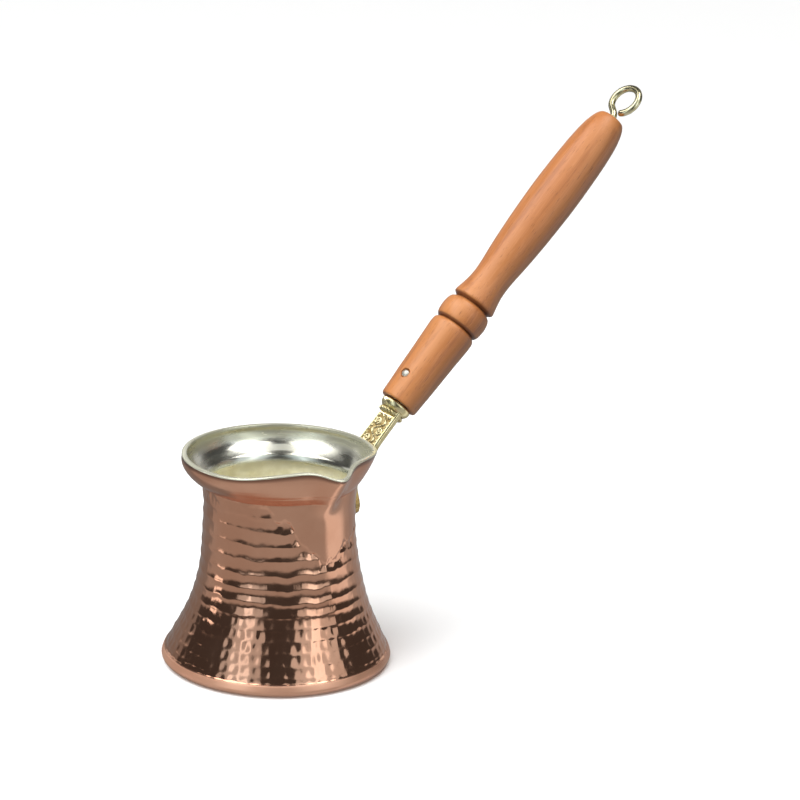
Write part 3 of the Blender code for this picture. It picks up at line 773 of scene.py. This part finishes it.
def arm_relief(run, across, share, to_handle):
    """Cast pattern on the arm's upper face, from 0, its sunk ground, to 1: a vine with curls between rims."""
    rim = smoothstep(*RELIEF_RIM, np.abs(share))
    u = run - VINE_START
    vine = ridge(across - VINE_SWING * np.sin(u / VINE_PERIOD * math.tau), VINE_WIDTH)
    half_turn = np.floor(u / VINE_PERIOD * 2)
    side = np.where(half_turn % 2 == 0, -1, 1)
    from_curl = np.hypot(u - (half_turn + 0.5) * VINE_PERIOD / 2, across - side * CURL_ASIDE)
    curl = ridge(from_curl - CURL_RADIUS, CURL_WIDTH)
    eye = 1 - smoothstep(*CURL_EYE, from_curl)
    along_berries = ((u / BERRY_PITCH) % 1 - 0.5) * BERRY_PITCH
    berries = BERRY_RISE * ridge(np.hypot(along_berries, np.abs(across) - BERRY_LINE), BERRY_WIDTH)
    relief = np.maximum.reduce(np.broadcast_arrays(rim, vine, curl, eye, berries))
    return relief + (1 - relief) * smoothstep(*ARM_PLAIN_END, to_handle)


def pad_relief(run, across, share, height):
    """Cast pattern on the pad's outer face: a rim, leaf veins, and flat seats round the rivets."""
    rim = smoothstep(*RELIEF_RIM, np.abs(share))
    veins = VEIN_RISE * ridge(np.sin((np.abs(across) * VEIN_SLOPE - run) / VEIN_PITCH * math.pi), VEIN_WIDTH)
    relief = np.maximum.reduce(np.broadcast_arrays(rim, veins, ridge(across, MIDRIB_WIDTH)))
    for rivet in RIVET_HEIGHTS.values():
        relief = np.maximum(relief, 1 - smoothstep(*RIVET_SEAT, np.hypot(height - rivet, across)))
    return relief + (1 - relief) * smoothstep(*PAD_PLAIN_TOP, height)


def make_bar(material):
    """The leaf-shaped pad on the neck, the flat arm with a raised pattern, and the tang in the wood."""
    line, run, half, hug, to_handle = bracket_line()
    tangent = np.gradient(line, axis=0)
    tangent /= np.linalg.norm(tangent, axis=1)[:, None]
    normal = np.stack([tangent[:, 1], -tangent[:, 0]], -1)
    share = np.sin(np.linspace(-1, 1, BAR_POINTS_ACROSS) * BAR_CROWDING) / math.sin(BAR_CROWDING)
    across = half[:, None] * share[None, :]
    curve = pad_centre(62 * MM)
    sag = hug[:, None] * (curve - np.sqrt(curve ** 2 - across ** 2))
    thick = np.where(hug == 1, PAD_THICKNESS, ARM_THICKNESS)[:, None] / 2
    edge = BAR_ROUNDING * smoothstep(0.88, 1.0, np.abs(share))[None, :]
    height = line[:, 1, None]
    on_pad = pad_relief(run[:, None], across, share[None, :], height)
    on_arm = arm_relief(run[:, None], across, share[None, :], to_handle[:, None])
    on_arm = on_arm + (1 - on_arm) * (1 - smoothstep(*ARM_RELIEF_STARTS, height))
    cast = np.random.default_rng(31).uniform(-1, 1, across.shape) * CASTING_GRAIN
    outer = thick - edge - (RELIEF_DEPTH + cast) * (1 - on_pad)
    upper = -thick + edge + (RELIEF_DEPTH + cast) * (1 - on_arm)
    sides = []
    for offset, order in ((outer, slice(None)), (upper, slice(None, None, -1))):
        reach = offset - sag
        x = line[:, 0, None] + normal[:, 0, None] * reach
        z = line[:, 1, None] + normal[:, 1, None] * reach
        sides.append(np.stack([x, across, z], -1)[:, order])
    points = np.concatenate(sides, axis=1)[:, ::-1]
    mesh = grid_mesh("cast_bracket", points, sharp=60)
    depth = np.concatenate([1 - on_pad, (1 - on_arm)[:, ::-1]], axis=1)[:, ::-1]
    float_attribute(mesh, "recess", depth)
    # The pad's colour turns amber towards its lower end; the material reads this share.
    ring_attribute(mesh, "painted_shade_and_amber", smoothstep(*PAD_TURNS_AMBER, line[:, 1]), depth.shape[1])
    return add_piece("cast_bracket", mesh, material, ["handle_bracket"])


def make_shoulder(material):
    """The twisted bead and the round shoulder that end the bracket against the wood."""
    points = turned(catmull(SHOULDER_OUTLINE, 6) * MM, 160)
    a, radius = polar(points)
    s = points[..., 2]
    twist = np.abs(np.sin(9 * a + s / (0.62 * MM)))
    on_bead = smoothstep(-5.55 * MM, -5.2 * MM, s) * (1 - smoothstep(-4.1 * MM, -3.8 * MM, s))
    groove = on_bead * ridge(twist, 0.45)
    points[..., :2] *= (1 - BEAD_TWIST_DEPTH * groove / radius)[..., None]
    mesh = grid_mesh("bracket_shoulder", points, sharp=60)
    neck = ridge(s + 3.78 * MM, 0.3 * MM)
    float_attribute(mesh, "recess", np.maximum(groove, neck))
    return add_piece("bracket_shoulder", mesh, material, ["handle_bracket"], handle_frame(0))


# ------------ rivets

def rivet_end(seat, side, radius, dome, rim):
    """Outline of a head or tail from its rim to its middle. Side is 1 outwards and -1 inwards."""
    turns = np.linspace(0, math.pi / 2, 9)
    return np.stack([seat + side * (rim + dome * np.sin(turns)), radius * np.cos(turns) + 2 * HAIR_GAP], -1)


def make_rivet(name, height, material):
    """A rivet lies along X: a hand-closed dome outside on the pad, and a low tail inside on the tin."""
    seat = pad_centre(height) + PAD_THICKNESS / 2
    tail = bell_radius(height) - INSIDE_DEPTH
    shank = [(tail, RIVET_TAIL[0]), (tail, RIVET_RADIUS), (seat, RIVET_RADIUS), (seat, RIVET_HEAD[0])]
    outline = np.vstack([rivet_end(tail, -1, *RIVET_TAIL)[::-1], shank, rivet_end(seat, 1, *RIVET_HEAD)])
    points = turned(outline, 56)
    x, y = points[..., 0].copy(), points[..., 1].copy()
    rng = np.random.default_rng(RIVET_SEEDS[name])
    for _ in range(RIVET_DENTS):
        angle, at, deep = rng.uniform(0, math.tau), rng.uniform(0.4, 1.9) * MM, rng.uniform(0.05, 0.14) * MM
        near = np.hypot(x - at * math.cos(angle), y - at * math.sin(angle))
        points[..., 2] -= deep * ridge(near, 0.8 * MM) * (points[..., 2] > seat + 0.5 * MM)
    place = Matrix.Translation((0, 0, height)) @ ALONG_X
    closed = name + "_closed"
    add_piece(closed, grid_mesh(closed, points, sharp=45), material, [name], place)


# ------------ screw eye

def tube_mesh(name, line, radii, sides=28):
    """A round wire along a line, with frames carried along so that it doesn't twist."""
    tangents = np.gradient(line, axis=0)
    tangents /= np.linalg.norm(tangents, axis=1)[:, None]
    side = np.array((0.0, 1.0, 0.0))
    rings = []
    for centre, tangent, radius in zip(line, tangents, radii):
        side = side - tangent * (side @ tangent)
        side /= np.linalg.norm(side)
        other = np.cross(tangent, side)
        a = np.arange(sides) / sides * math.tau
        rings.append(centre + radius * (np.cos(a)[:, None] * side + np.sin(a)[:, None] * other))
    return grid_mesh(name, np.array(rings), sharp=60)


def eye_point(angle):
    """A point of the loop, with the angle counted from the side nearest to the wood."""
    return np.array((EYE_RADIUS * math.sin(angle), 0, EYE_CENTRE - EYE_RADIUS * math.cos(angle)))


def make_screw_eye(material):
    """Wire from the tapered shank up the handle's axis and round a loop that comes back to the neck."""
    leave = eye_point(EYE_LEAVES_NECK)
    leave_tangent = np.array((-math.cos(EYE_LEAVES_NECK), 0, -math.sin(EYE_LEAVES_NECK)))
    neck = np.array((0, 0, 0.6 * MM))
    corners = [neck, neck + np.array((0, 0, EYE_BEND)), leave - leave_tangent * EYE_BEND, leave]
    line = [np.array((0, 0, z * MM)) for z in (-14, -12.5, -11, -10, -8, -6, -4, -2, -0.8)]
    for t in np.linspace(0, 1, 13)[:-1]:
        bernstein = [(1 - t) ** 3, 3 * t * (1 - t) ** 2, 3 * t * t * (1 - t), t ** 3]
        line.append(sum(b * corner for b, corner in zip(bernstein, corners)))
    sweep = math.tau + EYE_LEAVES_NECK - EYE_CLOSES_AT
    line += [eye_point(EYE_LEAVES_NECK - sweep * i / 90) for i in range(91)]
    line = np.array(line)
    radii = np.full(len(line), WIRE_RADIUS)
    radii[:4] = np.array((0.35, 0.7, 0.95, 1.0)) * WIRE_RADIUS
    radii[-3:] = np.array((0.99, 0.94, 0.82)) * WIRE_RADIUS
    add_piece("wire_eye", tube_mesh("wire_eye", line, radii), material, ["screw_eye"],
              handle_frame(HANDLE_LENGTH, EYE_ROLL))


# ------------ camera, light, floor

def look_at(obj, target):
    direction = Vector(target) - obj.location
    obj.rotation_euler = direction.to_track_quat("-Z", "Y").to_euler()


def make_camera():
    """The camera looks across the pot, with the pot's axis left of the middle of the view."""
    data = bpy.data.cameras.new("camera")
    data.lens = CAMERA_LENS
    data.sensor_width = 36
    data.clip_start = 0.05
    camera = add_object("camera", data)
    towards = CAMERA_AZIMUTH + math.pi - CAMERA_PAN
    forward = Vector((math.cos(towards) * math.cos(CAMERA_TILT), math.sin(towards) * math.cos(CAMERA_TILT),
                      -math.sin(CAMERA_TILT)))
    right = forward.cross(Vector((0, 0, 1))).normalized()
    up = right.cross(forward)
    turn = Matrix((right, up, -forward)).transposed().to_4x4() @ Matrix.Rotation(CAMERA_ROLL, 4, "Z")
    x, y = CAMERA_DISTANCE * math.cos(CAMERA_AZIMUTH), CAMERA_DISTANCE * math.sin(CAMERA_AZIMUTH)
    turn.translation = (x, y, CAMERA_HEIGHT)
    camera.matrix_world = turn
    bpy.context.scene.camera = camera


def add_light(name, kind, azimuth, elevation, distance, watts):
    """A light's object and data. Azimuth is counted from the camera's, and grows to the camera's right."""
    data = bpy.data.lights.new(name, kind)
    data.energy = watts
    light = add_object(name, data)
    a = CAMERA_AZIMUTH + math.radians(azimuth)
    e = math.radians(elevation)
    light.location = (distance * math.cos(a) * math.cos(e), distance * math.sin(a) * math.cos(e),
                      distance * math.sin(e))
    return light, data


def area_light(name, azimuth, elevation, distance, size, watts, tint=(1, 1, 1), core=None, lights_matt=True):
    """A soft box. A core is a bright upright strip in it, as its place across, its half width and how much
    darker the rest is."""
    light, data = add_light(name, "AREA", azimuth, elevation, distance, watts)
    data.shape = "RECTANGLE"
    data.size, data.size_y = size
    look_at(light, (0, 0, 0.05))
    light.visible_diffuse = lights_matt
    data.color = tint
    if core:
        place, half_width, rest = core
        data.use_nodes = True
        tree = data.node_tree
        across = put(tree, "NewGeometry").outputs["Parametric"]
        across = put(tree, "SeparateXYZ", {0: across}).outputs["X"]
        away = distance_from(tree, across, place)
        strength = span(tree, away, half_width * 0.5, half_width * 1.5, 1, rest)
        tree.links.new(strength, tree.nodes["Emission"].inputs["Strength"])
    return light


def make_stage():
    """A plain pale floor. Metal and bounced light see the world in its place."""
    mesh = bpy.data.meshes.new("floor")
    corners = [(x * FLOOR_HALF, y * FLOOR_HALF, 0) for x, y in ((-1, -1), (1, -1), (1, 1), (-1, 1))]
    mesh.from_pydata(corners, [], [(0, 1, 2, 3)])
    floor = add_object("floor", mesh)
    floor.location.z = -FLOOR_DROP
    material = bpy.data.materials.new("pale_floor")
    material.use_nodes = True
    shader = material.node_tree.nodes["Principled BSDF"]
    shader.inputs["Base Color"].default_value = FLOOR_COLOR
    shader.inputs["Roughness"].default_value = 0.9
    floor.data.materials.append(material)
    floor.visible_glossy = False
    floor.visible_diffuse = False


def in_radians(*edges):
    """Pairs of angles in degrees, as radians."""
    return [[math.radians(angle) for angle in edge] for edge in edges]


def make_world():
    """A dim room over a paler table, with a pale sweep behind the pot, a pale card and a bright strip."""
    world = bpy.data.worlds.new("studio")
    bpy.context.scene.world = world
    world.use_nodes = True
    tree = world.node_tree
    background = tree.nodes["Background"]
    background.inputs["Color"].default_value = (1, 1, 1, 1)
    direction = put(tree, "TexCoord").outputs["Generated"]
    height = z_of(tree, direction)
    front = (math.cos(CAMERA_AZIMUTH), math.sin(CAMERA_AZIMUTH), 0)
    right = (-math.sin(CAMERA_AZIMUTH), math.cos(CAMERA_AZIMUTH), 0)
    around = maths(tree, "ARCTAN2", dot(tree, direction, right), dot(tree, direction, front))

    table = span(tree, height, *TABLE_RANGE, TABLE_UNDER, TABLE_GLOW)
    glow = mix_values(tree, span(tree, height, *TABLE_EDGE, 0, 1), table, ROOM_GLOW)

    sweep_left, sweep_right = in_radians(SWEEP_LEFT, SWEEP_RIGHT)
    on_left = span(tree, around, *sweep_left, 1, 0)
    on_right = span(tree, around, *sweep_right, 0, 1)
    sweep = maths(tree, "MAXIMUM", on_left, on_right)
    sweep = maths(tree, "MULTIPLY", sweep, span(tree, height, *SWEEP_TOP, 1, 0))
    side_glow = mix_values(tree, on_right, SWEEP_GLOW, SWEEP_GLOW_RIGHT)
    glow = mix_values(tree, sweep, glow, span(tree, height, *SWEEP_BRIGHTENS, side_glow, SWEEP_TOP_GLOW))

    card = between(tree, around, *in_radians(*CARD_SIDES))
    card = maths(tree, "MULTIPLY", card, span(tree, height, *CARD_TOP, 1, 0))
    glow = mix_values(tree, card, glow, CARD_GLOW)

    strip = between(tree, around, *in_radians(*STRIP_SIDES))
    strip = maths(tree, "MULTIPLY", strip, between(tree, height, *STRIP_ENDS))
    glow = mix_values(tree, strip, glow, STRIP_GLOW)
    tree.links.new(glow, background.inputs["Strength"])


def sun_light(name, azimuth, elevation, strength, spread):
    light, data = add_light(name, "SUN", azimuth, elevation, 1, strength)
    data.angle = math.radians(spread)
    look_at(light, (0, 0, 0))
    light.visible_glossy = False


def make_lights(arm_pieces):
    """A soft sun and four soft boxes for the whole pot, and a small light for the bracket's pieces alone."""
    sun_light("overhead", azimuth=-36, elevation=58, strength=3.65, spread=70)
    area_light("softbox_left", azimuth=-40, elevation=34, distance=1.1, size=(0.75, 1.25), watts=4.4,
               tint=(0.80, 0.92, 1.0), core=(0.5, 0.12, 0.42))
    area_light("softbox_right", azimuth=50, elevation=34, distance=1.1, size=(1.05, 1.25), watts=6.2,
               tint=(0.88, 0.96, 1.0), core=(0.45, 0.14, 0.45), lights_matt=False)
    area_light("top_left", azimuth=-90, elevation=68, distance=0.9, size=(0.56, 0.46), watts=2.1)
    area_light("top_right", azimuth=90, elevation=70, distance=0.9, size=(0.46, 0.40), watts=1.7)
    arm = area_light("arm_light", azimuth=-136.6, elevation=42.9, distance=0.339, size=(0.2, 0.2), watts=0.5)
    arm.light_linking.receiver_collection = bpy.data.collections.new("lit_by_arm_light")
    for piece in arm_pieces:
        arm.light_linking.receiver_collection.objects.link(piece)


# ------------ materials

def polished_copper():
    """Rosy copper: duller on the foot band and the collar, and painted shade just under the lip."""
    material, tree, shader = new_look("polished_copper", 1)
    place = own_place(tree)
    height = z_of(tree, place)
    tone = noise(tree, place, 60, 4)
    bright = mix_colors(tree, span(tree, tone, 0.3, 0.7, 0, 1), COPPER_BRIGHT, COPPER_DULL)
    # Painted shade darkens the copper's colour just under the lip.
    color = mix_colors(tree, painted(tree, "painted_shade_and_amber"), bright, COPPER_PAINTED_SHADE)
    tree.links.new(span(tree, height, *BAND_TURNS_BRIGHT, 0.6, 1), shader.inputs["Metallic"])
    cloudy = span(tree, noise(tree, place, 130, 3), 0.35, 0.7, 0.09, 0.17)
    rough = maths(tree, "ADD", cloudy, span(tree, height, *BAND_TURNS_BRIGHT, 0.22, 0))
    rough = maths(tree, "ADD", rough, span(tree, height, 66 * MM, 68 * MM, 0, 0.08))
    lines = noise(tree, stretched(tree, place, (60, 60, 5200)), 1, 2)
    pits = noise(tree, place, 1100, 2)
    return finish_look(material, color, rough, bump(tree, pits, 0.012 * MM, bump(tree, lines, 0.004 * MM)))


def wiped_tin():
    """Bright wiped tin inside the collar, and duller, yellower tin on the lip, under it and deep down."""
    material, tree, shader = new_look("wiped_tin", 1)
    place = own_place(tree)
    streaks = noise(tree, stretched(tree, place, (45, 45, 420)), 1, 4)
    clouds = noise(tree, place, 90, 3)
    mottled = span(tree, noise(tree, place, 260, 4), 0.35, 0.65, 0.3, 1)
    height = z_of(tree, place)
    under_lip = span(tree, height, *TIN_OLIVE_RANGE, 0, 0.55)
    deep = span(tree, height, *TIN_DEEP_RANGE, 1, 0)
    on_lip = painted(tree, "on_lip")
    color = mix_colors(tree, span(tree, clouds, 0.3, 0.7, 0, 1), TIN_BRIGHT, TIN_DULL)
    color = mix_colors(tree, deep, color, mix_colors(tree, mottled, TIN_DEEP_DULL, TIN_DEEP_BRIGHT))
    color = mix_colors(tree, under_lip, color, TIN_OLIVE)
    color = mix_colors(tree, on_lip, color, TIN_LIP)
    wiped = span(tree, streaks, 0.3, 0.7, 0.15, 0.36)
    metallic = mix_values(tree, maths(tree, "ADD", deep, under_lip), 1.0, 0.35)
    tree.links.new(mix_values(tree, on_lip, metallic, 0.68), shader.inputs["Metallic"])
    return finish_look(material, color, mix_values(tree, deep, wiped, 0.55), bump(tree, streaks, 0.05 * MM))


def cast_brass():
    """Pale rubbed brass on the raised parts, brown-olive casting skin in the recesses, and an amber pad."""
    material, tree, _ = new_look("cast_brass", 1)
    place = own_place(tree)
    recess = painted(tree, "recess")
    spots = noise(tree, place, 420, 4)
    dark = maths(tree, "MULTIPLY", recess, span(tree, spots, 0.3, 0.65, 0.75, 1.0))
    # The pad's lower part turns amber, broken up by spots.
    painted_shade_and_amber = maths(tree, "MULTIPLY", painted(tree, "painted_shade_and_amber"), span(tree, spots, 0.3, 0.7, 0.95, 0.6))
    color = mix_colors(tree, span(tree, spots, 0.35, 0.75, 0, 1), BRASS_BRIGHT, BRASS_DULL)
    color = mix_colors(tree, painted_shade_and_amber, mix_colors(tree, dark, color, BRASS_SKIN), BRASS_AMBER)
    rough = span(tree, recess, 0, 1, 0.26, 0.5)
    return finish_look(material, color, rough, bump(tree, noise(tree, place, 2600, 3), 0.03 * MM))


def rivet_copper():
    """Satin copper, with tone and roughness from one fine noise."""
    material, tree, _ = new_look("rivet_copper", 1)
    tone = noise(tree, own_place(tree), 500, 3)
    color = mix_colors(tree, tone, RIVET_BRIGHT, RIVET_DULL)
    return finish_look(material, color, span(tree, tone, 0.3, 0.7, 0.18, 0.38), bump(tree, tone, 0.03 * MM))


def stained_wood():
    """Close-grained wood, stained warm brown and oiled, with pores, slow darker streaks along it, and painted
    shade in its two grooves.
    """
    material, tree, shader = new_look("stained_wood", 0)
    place = own_place(tree)
    bent = noise(tree, stretched(tree, place, (60, 60, 9)), 1, 2)
    streaks = noise(tree, stretched(tree, place, (420, 300, 13)), 1, 5)
    fibres = noise(tree, stretched(tree, place, (2600, 2600, 60)), 1, 3)
    pores = noise(tree, stretched(tree, place, (3300, 3300, 190)), 1, 2)
    holes = span(tree, pores, 0.64, 0.72, 0, 1)
    color = mix_colors(tree, span(tree, bent, 0.3, 0.7, 0, 1), WOOD_LIGHT, WOOD_DARK)
    color = mix_colors(tree, span(tree, streaks, 0.48, 0.72, 0, 0.55), color, WOOD_STREAK)
    color = mix_colors(tree, span(tree, fibres, 0.45, 0.75, 0, 0.35), color, WOOD_FIBRE)
    color = mix_colors(tree, maths(tree, "MULTIPLY", holes, 0.6), color, WOOD_PORE)
    # Painted shade: the colour darkens nearly to black in and beside each turned groove.
    for groove in GROOVES:
        away = distance_from(tree, z_of(tree, place), groove)
        color = mix_colors(tree, span(tree, away, 0.3 * MM, 1.1 * MM, 0.8, 0), color, WOOD_PAINTED_GROOVE_SHADE)
    relief = bump(tree, holes, 0.04 * MM, bump(tree, fibres, 0.02 * MM), invert=True)
    shader.inputs["Specular IOR Level"].default_value = 0.45
    shader.inputs["Coat Weight"].default_value = 0.4
    shader.inputs["Coat Roughness"].default_value = 0.34
    return finish_look(material, color, span(tree, fibres, 0.3, 0.7, 0.36, 0.5), relief)


def plain_metal(name, bright, dull, roughest):
    """Metal with a cloudy tone and fine lengthwise scratches."""
    material, tree, _ = new_look(name, 1)
    place = own_place(tree)
    tone = noise(tree, place, 380, 4)
    color = mix_colors(tree, span(tree, tone, 0.35, 0.7, 0, 1), bright, dull)
    scratches = noise(tree, stretched(tree, place, (3000, 3000, 500)), 1, 2)
    rough = span(tree, tone, 0.3, 0.7, roughest * 0.6, roughest)
    return finish_look(material, color, rough, bump(tree, scratches, 0.01 * MM))


# ------------ assembly

brass = cast_brass()
rivet_look = rivet_copper()

make_body(polished_copper())
make_tin(wiped_tin())
make_wood(stained_wood())
make_pin(plain_metal("pin_metal", PIN_BRIGHT, PIN_DULL, roughest=0.62))
bracket_pieces = [make_bar(brass), make_shoulder(brass)]
for rivet, rivet_height in RIVET_HEIGHTS.items():
    make_rivet(rivet, rivet_height, rivet_look)
make_screw_eye(plain_metal("brassed_wire", WIRE_BRIGHT, WIRE_DULL, roughest=0.24))

make_camera()
make_stage()
make_world()
make_lights(bracket_pieces)
bpy.context.scene.view_settings.view_transform = "Standard"
